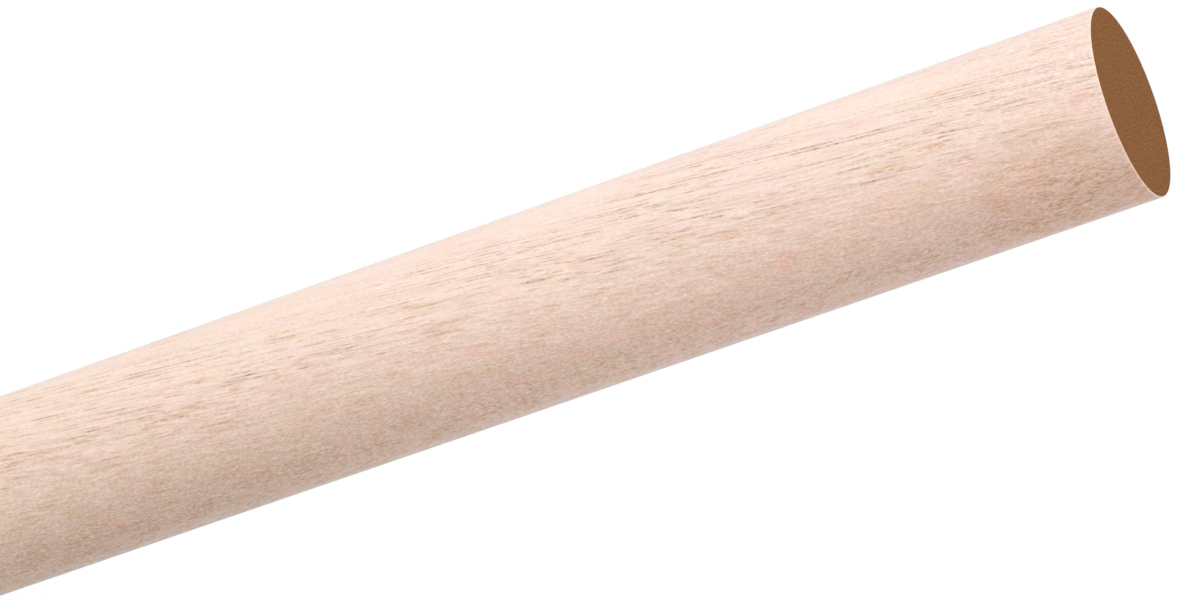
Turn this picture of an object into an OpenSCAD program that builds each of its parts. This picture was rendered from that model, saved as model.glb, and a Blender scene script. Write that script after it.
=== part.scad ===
// Wooden dowel rod: one straight length of round hardwood stock, sawn square
// at both ends.
//
// The rod stands on its plain end. Its axis is Z, and the origin is the centre
// of that end's face. The upper end wears a brown seal coat, which soaks into
// the end grain and adds no thickness, so that the rod stays one solid.
// All sizes are in millimetres.

/* [Rod] */
// Diameter of the round section
rod_diameter = 25; // [6:1:50]
// Length from one sawn face to the other
rod_length = 300; // [100:10:1000]

/* [Ends] */
// Width of the eased edge round each sawn face
edge_break = 0.2; // [0.1:0.1:1]
// Depth that the brown coat soaks into the upper end
coat_depth = 0.3; // [0.1:0.1:1]

/* [Hidden] */

rod_radius = rod_diameter / 2;
face_radius = rod_radius - edge_break;

wood_colour = "#efd8ca";
coat_colour = "#8b5f3d";

$fn = 144;

// Half of the rod's lengthwise section, from the axis out to the turned wall.
// The corners between wall and faces are broken at 45 degrees.
module half_section() {
    polygon([
        [0, 0],
        [face_radius, 0],
        [rod_radius, edge_break],
        [rod_radius, rod_length - edge_break],
        [face_radius, rod_length],
        [0, rod_length]
    ]);
}

// The bare length of round stock.
module round_stock() {
    rotate_extrude() half_section();
}

// The skin of end grain that the brown coat fills, inside the eased edge.
module coated_grain() {
    translate([0, 0, rod_length - coat_depth])
        cylinder(r = face_radius, h = coat_depth);
}

// The whole rod: bare wood, with the coated end grain set flush in its upper end.
module dowel_rod() {
    color(wood_colour)
        difference() {
            round_stock();
            coated_grain();
        }
    color(coat_colour) coated_grain();
}

dowel_rod();
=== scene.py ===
import math
from collections import namedtuple

import bmesh
import bpy
from mathutils import Matrix, Vector, noise


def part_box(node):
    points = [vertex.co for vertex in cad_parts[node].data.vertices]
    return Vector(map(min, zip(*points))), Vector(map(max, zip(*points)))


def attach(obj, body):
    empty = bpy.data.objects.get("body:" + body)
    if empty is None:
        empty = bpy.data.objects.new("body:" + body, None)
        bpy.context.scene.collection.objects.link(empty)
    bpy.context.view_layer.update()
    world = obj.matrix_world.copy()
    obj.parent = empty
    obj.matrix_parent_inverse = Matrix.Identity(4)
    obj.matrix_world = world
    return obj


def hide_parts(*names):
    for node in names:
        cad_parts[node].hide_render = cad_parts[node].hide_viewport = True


# A wooden dowel rod standing on its plain end on a pale floor, brown end up.
# Lengths are in metres, but in millimetres in the section on the grain and the coat.
# Left is -X and right is +X. Compass directions count from -Y, the side that faces
# the camera, towards the left.

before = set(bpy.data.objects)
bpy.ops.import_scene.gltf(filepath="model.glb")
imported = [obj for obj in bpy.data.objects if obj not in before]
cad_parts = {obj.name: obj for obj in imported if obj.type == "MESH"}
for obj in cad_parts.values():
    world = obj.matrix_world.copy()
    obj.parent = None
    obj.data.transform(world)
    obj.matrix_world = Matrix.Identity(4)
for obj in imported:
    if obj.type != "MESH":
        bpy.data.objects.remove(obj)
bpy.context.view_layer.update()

MM = 0.001


def srgb(red, green, blue):
    """A linear colour from 8-bit sRGB values."""

    def linear(value):
        part = value / 255
        return part / 12.92 if part <= 0.04045 else ((part + 0.055) / 1.055) ** 2.4

    return (linear(red), linear(green), linear(blue), 1.0)


# ---------------------------------------------------------------- the rod
# The CAD wall has flat facets, so its box is a hair narrower along Y than along X.
ROD_LOW, ROD_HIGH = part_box("dowel_rod")
ROD_RADII = ((ROD_HIGH.x - ROD_LOW.x) / 2, (ROD_HIGH.y - ROD_LOW.y) / 2)
ROD_LENGTH = ROD_HIGH.z - ROD_LOW.z
EDGE_BREAK = 0.2 * MM
# How far down the eased edge the brown coat laps.
COAT_LAP = 0.02 * MM

# How finely the mesh is divided: round the rod, up its wall, across each end and
# over the eased edge.
SEGMENTS = 180
WALL_STEP = 1.5 * MM
FACE_RINGS = 34
EDGE_STEPS = 4

# Sanding leaves the wall a little uneven, in long and shallow hollows.
RELIEF_DEPTH = 0.012 * MM
RELIEF_WIDTH = 1.1 * MM
RELIEF_LENGTH = 26 * MM

# The unrolled wall fills the lower part of the texture map, and the two end
# faces stand side by side above it.
WALL_MAP_HEIGHT = 0.74
MAP_GAP = 0.008

# The rod's material slots.
WALL, BARE_END, BROWN_END = range(3)

# ---------------------------------------------------------------- the grain and the coat
# Lengths in this section are in millimetres. Places across the rod count from its
# axis, left below 0, and places up it count from its plain end.

# The wood is solid: its fibres, vessels and rays run through the rod, and show
# where its surfaces cut them. The fibres lean away from the rod's axis.
FIBRE_LEAN = math.radians(7.5)
FIBRE_LEAN_TOWARDS = math.radians(-36)
RAYS_TOWARDS = math.radians(30)

# Nearly all the values of a noise lie between low and high, around its centre.
NOISE_LOW = 0.2
NOISE_HIGH = 0.8
NOISE_CENTRE = (0.5, 0.5, 0.5)

# A grain size is three lengths: across the rays, along them, and up the fibres.
# The fibres wander from their course by up to half of WANDER.
WANDER_SIZE = (22, 22, 45)
WANDER = (2.0, 2.0, 0.0)

# A ramp is where a change starts and where it is full. The change is from 0 to 1,
# or else from and to the two values that come next.
NEAR_BROWN_END = (270.0, 290.0)
# Painted shade: over this ramp the wall's colour darkens towards the plain end.
PAINTED_SHADE_TOWARDS_PLAIN_END = (245.0, 135.0)
NEAR_MIDDLE = (7.5, 3.0)
# Painted shade: over this ramp the wall's colour darkens towards the right, the side away from the
# key light.
PAINTED_SHADE_TOWARDS_RIGHT = (-9.2, 12.0)

# Fuzz is the shortest change in tone, and is stronger on the right. The saw has
# frayed the fibres by the brown end, on the left.
FUZZ_SIZE = (0.16, 0.2, 0.55)
FUZZ_STRENGTH = (-8.0, 4.0, 0.16, 0.32)
FUZZ_ADDED_IN_MIDDLE = -0.05
FRAYED_SIDE = (1.0, -6.0)
FUZZ_ADDED_BY_FRAYING = 0.12
FUZZ_HEIGHT = 0.3

# Threads, streaks and bands are longer changes in tone.
THREAD_SIZE = (0.2, 0.5, 2.2)
THREAD_STRENGTH = (-7.0, 1.0, 0.05, 0.12)
STREAK_SIZE = (0.3, 0.7, 6.0)
STREAK_STRENGTH_AT_SIDES = 0.05
STREAK_STRENGTH_IN_MIDDLE = 0.15
BAND_SIZE = (2.2, 3.0, 40.0)
BAND_STRENGTH = 0.02

# Patches have a grain size, the values of their noise where they start and where
# they are full, and how finely their outlines break up.
Patches = namedtuple("Patches", "size start full detail")

# Faint dark lines run between bundles of fibres.
DARK_LINES = Patches((0.24, 0.8, 14.0), 0.5, 0.7, 0)
DARK_LINE_STRENGTH = -0.07

# Vessels are tubes that run up the fibres. Each has a room of its own, measured
# across the rays and along them. Its radius is from thinnest to thickest, as parts
# of its room, and it stays open for about the length of its run.
Vessels = namedtuple("Vessels", "room thinnest thickest run")
WIDE_VESSELS = Vessels((0.5, 1.0), 0.0, 0.44, 5.0)
FINE_VESSELS = Vessels((0.3, 0.55), 0.12, 0.46, 2.4)
FINE_VESSELS_SHIFT = (7.3, 4.1, 0.0)
# Vessels are shallower at short necks, and some stretches have a dark filling.
VESSEL_OPEN = (0.4, 0.52)
VESSEL_NECK_RUN = 0.5
VESSEL_NECK = (0.35, 0.6, 0.45, 1.0)
VESSEL_FILLING = Patches((0.5, 1.0, 1.5), 0.52, 0.64, 1)

# Most vessels, dark lines and gum are in a band up the rod, left of its middle and
# widest by the brown end. Its edges waver. OUTSIDE is how strong they are elsewhere.
VESSEL_BAND_LEFT = (-13.2, -6.2)
VESSEL_BAND_RIGHT = (4.0, -5.0)
VESSEL_BAND_WIDENING = 2.5
VESSEL_BAND_WAVER_SIZE = (6, 6, 30)
VESSEL_BAND_WAVER = 3.0
VESSELS_OUTSIDE = 0.1
DARK_LINES_OUTSIDE = 0.15
GUM_OUTSIDE = 0.4

# Orange gum has soaked into the wood in clumps of streaks.
GUM_STREAKS = Patches((0.45, 1.2, 7.0), 0.54, 0.68, 2)
GUM_CLUMPS = Patches((3.0, 3.0, 12.0), 0.44, 0.56, 1)

# The hue drifts softly. Stains of pink and yellow are strongest on the right.
HUE_DRIFT = Patches((4.0, 4.0, 12.0), 0.35, 0.65, 2)
PINK_STAINS = Patches((2.8, 2.8, 5.0), 0.54, 0.68, 2)
YELLOW_STAINS = Patches((1.8, 1.8, 3.0), 0.42, 0.32, 1)
STAIN_STRENGTH = (-6.0, 4.0, 0.5, 0.92)

# A patchy tan stain by the brown end fades with the distance from its middle.
TAN_STAIN_AT = (11.0, -6.5, 291.0)
TAN_STAIN_REACH = (17.0, 4.0)
TAN_PATCHES = Patches((1.3, 1.3, 4.0), 0.42, 0.56, 2)
TAN_BETWEEN_PATCHES = 0.3

# Short dark flecks lie in the gum, in the tan stain, and up the rod's right edge.
FLECKS = Patches((0.21, 0.3, 1.0), 0.47, 0.6, 1)
RIGHT_EDGE = (6.5, 9.5)
FLECKS_AT_RIGHT_EDGE = 0.75

# Where the middle of the tree was, level with the plain end, and how wide its yearly
# rings are. Late wood deepens through the year and stops short at its end.
TREE_MIDDLE = (-45.0, 8.0, 0.0)
RING_WIDTH = 3.1
RING_WANDER_SIZE = (9, 9, 60)
RING_WANDER = 1.6
LATE_WOOD_DEEPENS = (0.4, 0.92)
LATE_WOOD_STOPS = (1.0, 0.94)
# Rays are the tree's spokes, as wide as RAYS says at this distance from its middle.
RAYS = Patches((0.22, 5.0, 1.0), 0.52, 0.66, 1)
RAY_WIDTH_AT = 45.0

# The eased edge is paler, and so is a little of the wall beside it.
EASED_EDGE_FADE = 0.1
EASED_EDGE_STRENGTH = 0.5

# The coat is finely speckled, and slightly cloudy.
COAT_SPECKLE_SIZE = (0.3, 0.3, 0.3)
COAT_SPECKLE_ROUGHNESS = 0.6
COAT_CLOUD_SIZE = (4.0, 4.0, 4.0)
COAT_CLOUD_STRENGTH = 0.05

# ---------------------------------------------------------------- the colours
WHITE = (1, 1, 1, 1)

# Clear wood on the rod's left and right, near its brown end and near its plain end.
# These colours carry painted shade: the right, away from the key light, and the plain end are
# darker.
LEFT_BY_BROWN_END = srgb(247, 224, 212)
LEFT_BY_PLAIN_END = srgb(245, 221, 206)
RIGHT_BY_BROWN_END = srgb(240, 206, 187)
RIGHT_BY_PLAIN_END = srgb(219, 190, 169)
EASED_EDGE = srgb(250, 226, 200)
COAT = srgb(141, 93, 52)

# How much of each channel a change in tone adds or takes away.
WOOD_TONE = (0.94, 1.0, 1.0)
COAT_TONE = (0.27, 0.15, 0.08)

# A tint multiplies the colour below it.
PINKER = (1.005, 0.988, 0.995, 1)
YELLOWER = (0.995, 1.005, 0.988, 1)
PINK_TINT = (1.03, 0.96, 0.96, 1)
YELLOW_TINT = (0.99, 0.99, 0.91, 1)
TAN_TINT = (0.955, 0.9, 0.835, 1)
GUM_TINT = (0.968, 0.88, 0.785, 1)
FLECK_TINT = (0.81, 0.69, 0.6, 1)
VESSEL_TINT = (0.62, 0.53, 0.46, 1)
VESSEL_FILLING_TINT = (0.75, 0.62, 0.52, 1)
BARE_END_TINT = srgb(225, 215, 205)
LATE_WOOD_TINT = (0.84, 0.78, 0.72, 1)
RAY_TINT = (1.08, 1.08, 1.06, 1)

# How a surface takes the light. bump is what a height of 1 stands for, in metres.
# sheen is the pale bloom of sanded fibre ends.
Finish = namedtuple("Finish", "roughness specular bump sheen")
WALL_FINISH = Finish(0.62, 0.5, 0.02 * MM, 0.4)
BARE_END_FINISH = Finish(0.8, 0.3, 0.05 * MM, 0.0)
COAT_FINISH = Finish(0.85, 0.1, 0.02 * MM, 0.0)
SHEEN_ROUGHNESS = 0.25
SHEEN_TINT = (0.55, 0.85, 1.0, 1)

# ---------------------------------------------------------------- the stage
FLOOR_GREY = (0.8, 0.8, 0.8, 1)
FLOOR_SIZE = 30
# The floor lies a hair below the plain end, so that the two faces don't flicker.
FLOOR_DROP = 0.02 * MM
# What the floor adds to its own light where it is seen, to come out near white.
FLOOR_LIFT = 0.3
# The distances from the rod's foot between which the floor turns plain white.
FLOOR_FADE = (0.12, 0.36)
WORLD_STRENGTH = 0.28

# Name, compass direction and elevation in degrees, distance, size, level and colour.
# A level is how bright white paper by the rod renders when it faces the light.
LIGHTS = (
    ("key", 45, 15, 2.4, 1.8, 0.58, (1.01, 1.0, 0.99)),
    ("fill", -40, 45, 2.4, 1.8, 0.19, (1.05, 1.0, 0.96)),
    ("left_rim", 120, 15, 2.4, 1.8, 0.25, (0.98, 1.0, 1.03)),
    ("right_rim", -120, 15, 2.4, 1.8, 0.21, (0.82, 0.98, 1.2)),
    ("right_back", -158, 0, 2.4, 1.2, 0.16, (0.85, 1.0, 1.12)),
    ("top", 0, 88, 2.0, 1.8, 0.3, (1, 1, 1)),
)

CAMERA_LENS_MM = 184.5
CAMERA_SENSOR_MM = 36.0
CAMERA_ELEVATION = math.radians(19.11)
CAMERA_ROLL = math.radians(70.8)
CAMERA_CLIP = (0.01, 100)
# The centre of the brown end, along the camera's right, up and back axes.
BROWN_END_FROM_CAMERA = Vector((65.8, 24.6, -763.35)) * MM


# ================================================================ materials
class Shader:
    """The nodes of a material or a world, with a short method for each kind in use."""

    def __init__(self, owner):
        owner.use_nodes = True
        self.owner = owner
        self.tree = owner.node_tree
        self.tree.nodes.clear()

    def feed(self, socket, value):
        """Links the socket to another one, or sets it to a fixed value."""
        if isinstance(value, bpy.types.NodeSocket):
            self.tree.links.new(value, socket)
        else:
            socket.default_value = value

    def add(self, kind, *values, inputs=None, **settings):
        """Adds a node. Its first inputs take the values, and inputs gives others by name."""
        node = self.tree.nodes.new("ShaderNode" + kind)
        for name, setting in settings.items():
            setattr(node, name, setting)
        for socket, value in zip(node.inputs, values):
            self.feed(socket, value)
        for name, value in (inputs or {}).items():
            self.feed(node.inputs[name], value)
        return node

    def finished(self, surface, output="OutputMaterial"):
        """Gives the surface to the output, and returns the material or world."""
        self.add(output, surface)
        return self.owner

    def math(self, operation, *values):
        return self.add("Math", *values, operation=operation).outputs[0]

    def joined(self, operation, first, *others):
        """Applies an operation on two values to any number of them, one after another."""
        for other in others:
            first = self.math(operation, first, other)
        return first

    def total(self, *values):
        return self.joined("ADD", *values)

    def product(self, *values):
        return self.joined("MULTIPLY", *values)

    def highest(self, *values):
        return self.joined("MAXIMUM", *values)

    def remap(self, value, start, full, low=0.0, high=1.0, shape="SMOOTHSTEP"):
        """Takes start..full to low..high, without going past them."""
        limits = (start, full, low, high)
        return self.add("MapRange", value, *limits, interpolation_type=shape).outputs[0]

    def between(self, share, low, high=1.0):
        """The number that lies a share of the way from low to high."""
        return self.remap(share, 0.0, 1.0, low, high, shape="LINEAR")

    def vector_math(self, operation, first, second):
        return self.add("VectorMath", first, second, operation=operation).outputs[0]

    def scaled(self, vector, factor):
        inputs = {"Scale": factor}
        return self.add("VectorMath", vector, inputs=inputs, operation="SCALE").outputs[0]

    def distance(self, first, second=(0.0, 0.0, 0.0)):
        return self.add("VectorMath", first, second, operation="DISTANCE").outputs["Value"]

    def axes(self, vector):
        """The three numbers of a vector."""
        return self.add("SeparateXYZ", vector).outputs

    def place_in_metres(self):
        """The place on the object, along its own axes."""
        return self.add("TexCoord").outputs["Object"]

    def place_in_mm(self):
        return self.scaled(self.place_in_metres(), 1 / MM)

    def noise(self, place, size, detail=0, roughness=0.5, output="Fac"):
        """A noise whose grains have the size."""
        place = self.vector_math("DIVIDE", place, size)
        inputs = {"Vector": place, "Scale": 1.0, "Detail": detail, "Roughness": roughness}
        return self.add("TexNoise", inputs=inputs).outputs[output]

    def swing(self, noise_value, reach=0.5):
        """Takes a noise to -reach..reach."""
        return self.remap(noise_value, NOISE_LOW, NOISE_HIGH, -reach, reach, shape="LINEAR")

    def patches(self, place, kind):
        """1 in the patches and 0 outside them."""
        return self.remap(self.noise(place, kind.size, kind.detail), kind.start, kind.full)

    def mix(self, share, first, second, blend="MIX"):
        """The first colour, with a share of the second blended in."""
        node = self.add("Mix", share, data_type="RGBA", blend_type=blend)
        # The sockets before these two mix numbers and vectors.
        self.feed(node.inputs[6], first)
        self.feed(node.inputs[7], second)
        return node.outputs[2]

    def tinted(self, colour, tint, share=1.0):
        """The colour, multiplied by a share of the tint."""
        return self.mix(share, colour, tint, blend="MULTIPLY")

    def surface(self, colour, height, finish):
        """Gives the material a Principled surface, and returns it."""
        bump_inputs = {"Strength": 1.0, "Distance": finish.bump, "Height": height}
        bump = self.add("Bump", inputs=bump_inputs)
        inputs = {
            "Base Color": colour,
            "Roughness": finish.roughness,
            "Normal": bump.outputs["Normal"],
            "Specular IOR Level": finish.specular,
            "Sheen Weight": finish.sheen,
            "Sheen Roughness": SHEEN_ROUGHNESS,
            "Sheen Tint": SHEEN_TINT,
        }
        return self.finished(self.add("BsdfPrincipled", inputs=inputs).outputs["BSDF"])


def compass(turn):
    """A level direction."""
    return Vector((-math.sin(turn), -math.cos(turn), 0))


def grain_turn():
    """The turn to the wood's axes: X across the rays, Y along them, and Z up the fibres."""
    up = Vector((0, 0, 1))
    fibre = compass(FIBRE_LEAN_TOWARDS) * math.sin(FIBRE_LEAN) + up * math.cos(FIBRE_LEAN)
    across = compass(RAYS_TOWARDS).cross(fibre).normalized()
    ray = fibre.cross(across)
    return Matrix((across, ray, fibre)).to_euler()


class Wood(Shader):
    """A material of solid wood, with its colour and height.

    place is along the rod's axes, and grain is the same place along the wood's. side
    and up are how far right and how high on the rod it is. crowd is 1 in the band where
    the vessels crowd together.
    """

    def __init__(self, name):
        super().__init__(bpy.data.materials.new(name))
        self.place = self.place_in_mm()
        self.grain = self.along_grain()
        self.side, _, self.up = self.axes(self.place)
        self.near_brown_end = self.remap(self.up, *NEAR_BROWN_END)
        self.crowd = self.vessel_band()
        self.fuzz = self.noise(self.grain, FUZZ_SIZE, detail=1)
        vessel = self.vessels()
        filling = self.product(vessel, self.patches(self.grain, VESSEL_FILLING))

        colour = self.vector_math("ADD", self.clear_wood_with_painted_shade(), self.scaled(WOOD_TONE, self.tone()))
        colour = self.gummed(self.stained(colour))
        colour = self.tinted(colour, VESSEL_TINT, vessel)
        self.colour = self.tinted(colour, VESSEL_FILLING_TINT, filling)
        uncut = self.math("SUBTRACT", 1.0, vessel)
        self.height = self.math("MULTIPLY_ADD", self.fuzz, FUZZ_HEIGHT, uncut)

    def along_grain(self):
        """The place along the wood's own axes. The fibres wander a little."""
        inputs = {"Vector": self.place, "Rotation": grain_turn()}
        straight = self.add("Mapping", inputs=inputs).outputs[0]
        wander = self.noise(straight, WANDER_SIZE, detail=1, output="Color")
        wander = self.vector_math("SUBTRACT", wander, NOISE_CENTRE)
        wander = self.vector_math("MULTIPLY", wander, WANDER)
        return self.vector_math("ADD", straight, wander)

    def vessel_band(self):
        """1 in the band up the rod where the vessels crowd together."""
        waver = self.swing(self.noise(self.grain, VESSEL_BAND_WAVER_SIZE), VESSEL_BAND_WAVER)
        side = self.total(self.side, waver)
        widened = self.math("MULTIPLY_ADD", self.near_brown_end, VESSEL_BAND_WIDENING, side)
        from_left = self.remap(widened, *VESSEL_BAND_LEFT)
        return self.product(from_left, self.remap(side, *VESSEL_BAND_RIGHT))

    def tubes(self, place, kind):
        """Tubes that run up the fibres, one in each cell of a pattern of cells."""
        room = (*kind.room, 1.0)
        inputs = {"Vector": self.vector_math("DIVIDE", place, room), "Scale": 1.0}
        cells = self.add("TexVoronoi", inputs=inputs, voronoi_dimensions="2D", feature="F1")
        chance = self.add("SeparateColor", cells.outputs["Color"]).outputs[0]
        radius = self.between(chance, kind.thinnest, kind.thickest)
        tube = self.remap(cells.outputs["Distance"], radius, 0.0)
        still_open = self.remap(self.noise(place, (*kind.room, kind.run), detail=1), *VESSEL_OPEN)
        neck = self.remap(self.noise(place, (*kind.room, VESSEL_NECK_RUN)), *VESSEL_NECK)
        return self.product(tube, still_open, neck)

    def vessels(self):
        """How deep a surface cuts into the vessels."""
        wide = self.tubes(self.grain, WIDE_VESSELS)
        fine = self.tubes(self.vector_math("ADD", self.grain, FINE_VESSELS_SHIFT), FINE_VESSELS)
        return self.product(self.highest(wide, fine), self.between(self.crowd, VESSELS_OUTSIDE))

    def tone(self):
        """How much lighter or darker than clear wood the fibres are, from short ones to long."""
        middle = self.remap(self.math("ABSOLUTE", self.side), *NEAR_MIDDLE)
        frayed = self.product(self.near_brown_end, self.remap(self.side, *FRAYED_SIDE))
        fuzz_strength = self.total(
            self.remap(self.side, *FUZZ_STRENGTH),
            self.product(middle, FUZZ_ADDED_IN_MIDDLE),
            self.product(frayed, FUZZ_ADDED_BY_FRAYING),
        )
        fuzz = self.product(self.swing(self.fuzz), fuzz_strength)

        threads = self.swing(self.noise(self.grain, THREAD_SIZE, detail=1))
        threads = self.product(threads, self.remap(self.side, *THREAD_STRENGTH))

        streaks = self.swing(self.noise(self.grain, STREAK_SIZE, detail=1))
        streak_strength = self.between(middle, STREAK_STRENGTH_AT_SIDES, STREAK_STRENGTH_IN_MIDDLE)
        streaks = self.product(streaks, streak_strength)

        bands = self.swing(self.noise(self.grain, BAND_SIZE, detail=1), BAND_STRENGTH)
        lines = self.product(
            self.patches(self.grain, DARK_LINES),
            self.between(self.crowd, DARK_LINES_OUTSIDE),
            DARK_LINE_STRENGTH,
        )
        return self.total(fuzz, threads, streaks, bands, lines)

    def clear_wood_with_painted_shade(self):
        """The wood's colour, with painted shade: darker towards the right, away from the key light,
        and towards the plain end.
        """
        # Painted shade: blends the lighter and darker corner colours by height and by side.
        down = self.remap(self.up, *PAINTED_SHADE_TOWARDS_PLAIN_END)
        left = self.mix(down, LEFT_BY_BROWN_END, LEFT_BY_PLAIN_END)
        right = self.mix(down, RIGHT_BY_BROWN_END, RIGHT_BY_PLAIN_END)
        return self.mix(self.remap(self.side, *PAINTED_SHADE_TOWARDS_RIGHT), left, right)

    def stained(self, colour):
        """The colour with its soft stains."""
        strength = self.remap(self.side, *STAIN_STRENGTH)
        pink = self.product(self.patches(self.grain, PINK_STAINS), strength)
        yellow = self.product(self.patches(self.grain, YELLOW_STAINS), strength)
        drift = self.mix(self.patches(self.grain, HUE_DRIFT), PINKER, YELLOWER)
        colour = self.tinted(colour, drift)
        colour = self.tinted(colour, PINK_TINT, pink)
        return self.tinted(colour, YELLOW_TINT, yellow)

    def gummed(self, colour):
        """The colour with its tan stain, its gum, and the flecks."""
        patches = self.patches(self.grain, TAN_PATCHES)
        near_stain = self.remap(self.distance(self.place, TAN_STAIN_AT), *TAN_STAIN_REACH)
        tan = self.product(near_stain, self.between(patches, TAN_BETWEEN_PATCHES))
        gum = self.product(
            self.patches(self.grain, GUM_STREAKS),
            self.patches(self.grain, GUM_CLUMPS),
            self.between(self.crowd, GUM_OUTSIDE),
        )
        edge = self.product(self.remap(self.side, *RIGHT_EDGE), patches, FLECKS_AT_RIGHT_EDGE)
        flecks = self.product(self.highest(gum, tan, edge), self.patches(self.grain, FLECKS))
        colour = self.tinted(colour, TAN_TINT, tan)
        colour = self.tinted(colour, GUM_TINT, gum)
        return self.tinted(colour, FLECK_TINT, flecks)


def side_grain():
    """The turned and sanded wall, with a paler eased edge round each end."""
    wood = Wood("side_grain")
    half_length = ROD_LENGTH / MM / 2
    from_middle = wood.math("ABSOLUTE", wood.math("SUBTRACT", wood.up, half_length))
    edge_start = half_length - EDGE_BREAK / MM
    fade = (edge_start - EASED_EDGE_FADE, edge_start)
    eased = wood.remap(from_middle, *fade, 0.0, EASED_EDGE_STRENGTH)
    return wood.surface(wood.mix(eased, wood.colour, EASED_EDGE), wood.height, WALL_FINISH)


def year_rings(wood):
    """Arcs and spokes about the tree's middle: (late wood, rays)."""
    reach = wood.distance(wood.place, TREE_MIDDLE)
    wander = wood.swing(wood.noise(wood.place, RING_WANDER_SIZE, detail=1), RING_WANDER)
    year = wood.math("FRACT", wood.math("DIVIDE", wood.total(reach, wander), RING_WIDTH))
    late = wood.product(
        wood.remap(year, *LATE_WOOD_DEEPENS),
        wood.remap(year, *LATE_WOOD_STOPS),
    )
    side, depth, _ = wood.axes(wood.vector_math("SUBTRACT", wood.place, TREE_MIDDLE))
    along_ring = wood.product(wood.math("ARCTAN2", depth, side), RAY_WIDTH_AT)
    spokes = wood.add("CombineXYZ", along_ring, reach).outputs[0]
    return late, wood.patches(spokes, RAYS)


def bare_end_grain():
    """The plain sawn end, a little darker than the wall."""
    wood = Wood("bare_end_grain")
    late, ray = year_rings(wood)
    colour = wood.tinted(wood.colour, BARE_END_TINT)
    colour = wood.tinted(colour, LATE_WOOD_TINT, late)
    colour = wood.tinted(colour, RAY_TINT, ray)
    return wood.surface(colour, wood.height, BARE_END_FINISH)


def brown_end_coat():
    """The flat brown seal coat on the upper end."""
    coat = Shader(bpy.data.materials.new("brown_end_coat"))
    place = coat.place_in_mm()
    speckle = coat.noise(place, COAT_SPECKLE_SIZE, detail=1, roughness=COAT_SPECKLE_ROUGHNESS)
    cloud = coat.noise(place, COAT_CLOUD_SIZE, detail=2)
    tone = coat.total(coat.swing(speckle), coat.swing(cloud, COAT_CLOUD_STRENGTH))
    colour = coat.vector_math("ADD", coat.scaled(COAT_TONE, tone), COAT[:3])
    return coat.surface(colour, speckle, COAT_FINISH)


# ================================================================ the rod's mesh
def relief(angle, height):
    """How far the wall lies from its full radius: from 0 down to minus the relief's depth."""
    ring = ROD_RADII[0] / RELIEF_WIDTH
    place = Vector((math.cos(angle) * ring, math.sin(angle) * ring, height / RELIEF_LENGTH))
    return RELIEF_DEPTH * (noise.noise(place) - 1) / 2


def profile():
    """The mesh's rings from bottom to top: (part of the radius, inset of the radius, height)."""
    end = [(index / FACE_RINGS, EDGE_BREAK, 0.0) for index in range(1, FACE_RINGS + 1)]
    for step in range(1, EDGE_STEPS + 1):
        turn = math.pi / 2 * step / EDGE_STEPS
        end.append((1.0, EDGE_BREAK * (1 - math.sin(turn)), EDGE_BREAK * (1 - math.cos(turn))))
    other_end = [(part, inset, ROD_LENGTH - height) for part, inset, height in reversed(end)]

    wall_length = ROD_LENGTH - 2 * EDGE_BREAK
    steps = round(wall_length / WALL_STEP)
    wall = [(1.0, 0.0, EDGE_BREAK + wall_length * step / steps) for step in range(1, steps)]
    return end + wall + other_end


def add_ring(form, part, inset, height):
    """One ring of points round the axis. The wall, which has no inset, has relief."""
    ring = []
    for index in range(SEGMENTS):
        angle = 2 * math.pi * index / SEGMENTS
        rise = relief(angle, height) if inset == 0.0 else -inset
        wide, deep = [(radius + rise) * part for radius in ROD_RADII]
        ring.append(form.verts.new((wide * math.cos(angle), deep * math.sin(angle), height)))
    return ring


def add_faces(form, rings):
    """Joins each ring to the next, and closes both ends with a fan of triangles."""
    bottom = form.verts.new((0, 0, 0))
    top = form.verts.new((0, 0, ROD_LENGTH))
    sides = [(index, (index + 1) % SEGMENTS) for index in range(SEGMENTS)]
    for lower, upper in zip(rings, rings[1:]):
        for here, after in sides:
            form.faces.new((lower[here], lower[after], upper[after], upper[here]))
    for here, after in sides:
        form.faces.new((bottom, rings[0][after], rings[0][here]))
        form.faces.new((top, rings[-1][here], rings[-1][after]))


def slot_of(face):
    """The material slot of a face."""
    heights = [vert.co.z for vert in face.verts]
    if max(heights) <= 0.0:
        return BARE_END
    if min(heights) >= ROD_LENGTH - COAT_LAP:
        return BROWN_END
    return WALL


def map_wall(face, unroll):
    """Places a face of the wall on the texture map, unrolled."""
    middle = face.calc_center_median()
    middle_turn = math.atan2(middle.y, middle.x)
    for loop in face.loops:
        place = loop.vert.co
        turn = math.atan2(place.y, place.x)
        turn += 2 * math.pi * round((middle_turn - turn) / (2 * math.pi))
        loop[unroll].uv = (0.5 + turn / (2 * math.pi), WALL_MAP_HEIGHT * place.z / ROD_LENGTH)


def map_end(face, unroll):
    """Places a face of an end on the texture map, as seen from above."""
    half_width = 0.25 - MAP_GAP
    half_height = (1 - WALL_MAP_HEIGHT) / 2 - MAP_GAP
    centre_x = 0.25 if face.material_index == BARE_END else 0.75
    centre_y = (1 + WALL_MAP_HEIGHT) / 2
    for loop in face.loops:
        place = loop.vert.co
        loop[unroll].uv = (
            centre_x + half_width * place.x / ROD_RADII[0],
            centre_y + half_height * place.y / ROD_RADII[1],
        )


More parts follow.
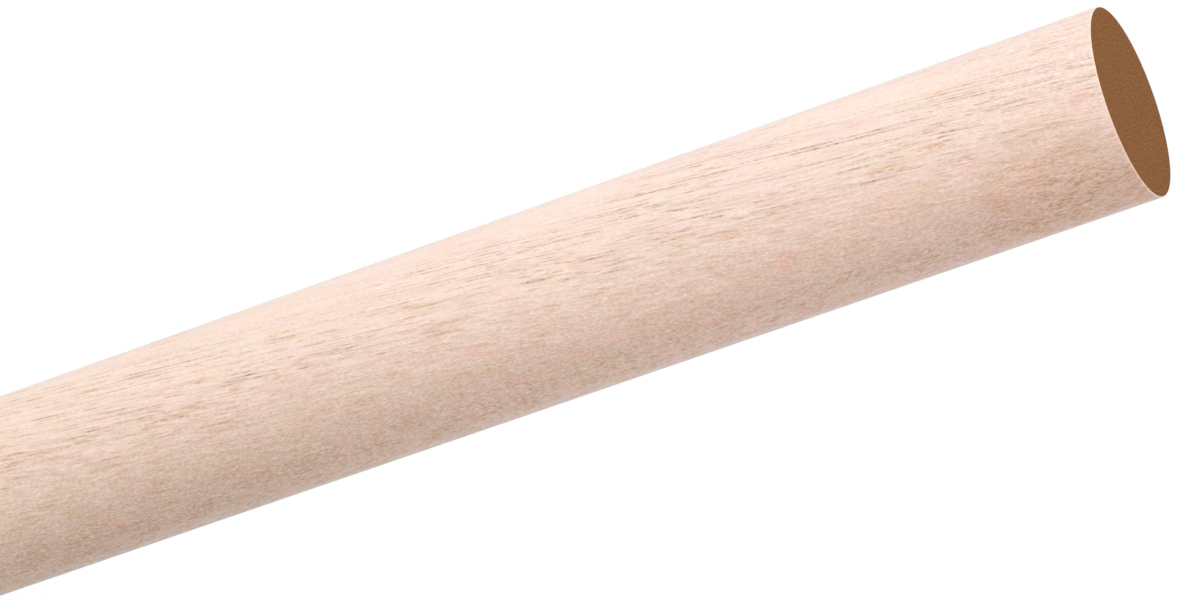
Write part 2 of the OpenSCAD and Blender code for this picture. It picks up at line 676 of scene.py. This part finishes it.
def build_rod():
    """The rod as one closed mesh, with its three materials and its texture map."""
    form = bmesh.new()
    add_faces(form, [add_ring(form, *ring) for ring in profile()])
    unroll = form.loops.layers.uv.new("OFBake")
    for face in form.faces:
        face.smooth = True
        face.material_index = slot_of(face)
        if face.material_index == WALL:
            map_wall(face, unroll)
        else:
            map_end(face, unroll)
    mesh = bpy.data.meshes.new("rod")
    for material in (side_grain(), bare_end_grain(), brown_end_coat()):
        mesh.materials.append(material)
    form.to_mesh(mesh)
    form.free()
    rod = bpy.data.objects.new("rod", mesh)
    bpy.context.scene.collection.objects.link(rod)
    return rod


# ================================================================ the stage
def seen(shader):
    """1 for rays that show a background: the camera's, and mirrored or refracted ones."""
    rays = shader.add("LightPath").outputs
    return shader.highest(rays["Is Camera Ray"], rays["Is Glossy Ray"], rays["Is Transmission Ray"])


def build_floor():
    """A wide pale floor that keeps the rod's shadow by its foot, and is plain white further off."""
    shader = Shader(bpy.data.materials.new("pale_floor"))
    is_seen = seen(shader)
    matte = shader.add("BsdfDiffuse", FLOOR_GREY).outputs[0]
    lift = shader.add("Emission", WHITE, shader.product(is_seen, FLOOR_LIFT)).outputs[0]
    near = shader.add("AddShader", matte, lift).outputs[0]
    far = shader.add("Emission", WHITE, 1.0).outputs[0]
    fade = shader.remap(shader.distance(shader.place_in_metres()), *FLOOR_FADE)
    share = shader.product(is_seen, fade)
    material = shader.finished(shader.add("MixShader", share, near, far).outputs[0])

    bpy.ops.mesh.primitive_plane_add(size=FLOOR_SIZE, location=(0, 0, -FLOOR_DROP))
    floor = bpy.context.object
    floor.name = "floor"
    floor.data.materials.append(material)


def build_world():
    """Even surroundings that fill the shadows, and that are seen as plain white."""
    world = bpy.data.worlds.new("studio")
    bpy.context.scene.world = world
    shader = Shader(world)
    strength = shader.between(seen(shader), WORLD_STRENGTH)
    shader.finished(shader.add("Background", WHITE, strength).outputs[0], "OutputWorld")


def build_light(name, turn, elevation, distance, size, level, colour):
    """A square soft light that faces the middle of the rod."""
    lamp = bpy.data.lights.new(name, "AREA")
    lamp.shape = "SQUARE"
    lamp.size = size
    # At this many watts, white paper at the distance renders at the level.
    lamp.energy = level * (math.pi * distance) ** 2
    lamp.color = colour
    light = bpy.data.objects.new(name, lamp)
    bpy.context.scene.collection.objects.link(light)
    rise = math.radians(elevation)
    outwards = compass(math.radians(turn)) * math.cos(rise) + Vector((0, 0, math.sin(rise)))
    light.location = Vector((0, 0, ROD_LENGTH / 2)) + outwards * distance
    light.rotation_euler = outwards.to_track_quat("Z", "Y").to_euler()
    light.visible_camera = False


def build_camera():
    """The camera looks down at the brown end, rolled over so that the rod lies across."""
    back = Vector((0, -math.cos(CAMERA_ELEVATION), math.sin(CAMERA_ELEVATION)))
    level_right = Vector((1, 0, 0))
    level_up = back.cross(level_right)
    right = level_right * math.cos(CAMERA_ROLL) + level_up * math.sin(CAMERA_ROLL)
    up = back.cross(right)
    turn = Matrix((right, up, back)).transposed()
    place = Vector((0, 0, ROD_LENGTH)) - turn @ BROWN_END_FROM_CAMERA

    lens = bpy.data.cameras.new("camera")
    lens.lens = CAMERA_LENS_MM
    lens.sensor_width = CAMERA_SENSOR_MM
    lens.clip_start, lens.clip_end = CAMERA_CLIP
    camera = bpy.data.objects.new("camera", lens)
    camera.matrix_world = Matrix.Translation(place) @ turn.to_4x4()
    bpy.context.scene.collection.objects.link(camera)
    bpy.context.scene.camera = camera


build_camera()
build_world()
build_floor()
for light in LIGHTS:
    build_light(*light)

rod = build_rod()
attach(rod, "root")
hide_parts("dowel_rod")

bpy.context.scene.view_settings.view_transform = "Standard"
